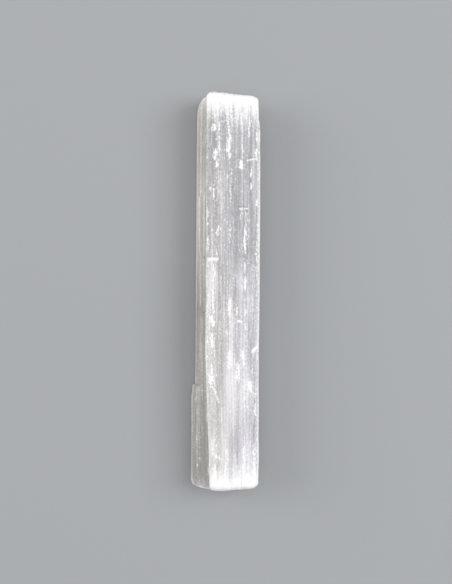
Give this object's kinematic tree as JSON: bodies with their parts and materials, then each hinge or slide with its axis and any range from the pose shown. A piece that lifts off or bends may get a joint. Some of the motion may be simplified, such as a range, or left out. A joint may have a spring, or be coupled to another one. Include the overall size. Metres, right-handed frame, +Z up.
{
  "type": "selenite crystal blade",
  "caption": "Flat-lying stick of fibrous satin spar gypsum with stepped laths, a slanted side, a ledge and frosted rounded ends, to rest on a shelf or table",
  "frame": {"origin": "under the middle of the blade, on the surface it rests on", "axes": "Y along the fibres from the ledge end to the plain end, X across from the slanted side to the straight side, Z up"},
  "size_m": [0.035, 0.2, 0.022],
  "materials": {
    "satin_spar": "silky, milky translucent"
  },
  "bodies": {
    "root": {"selenite_blade": "satin_spar"}
  },
  "joints": []
}
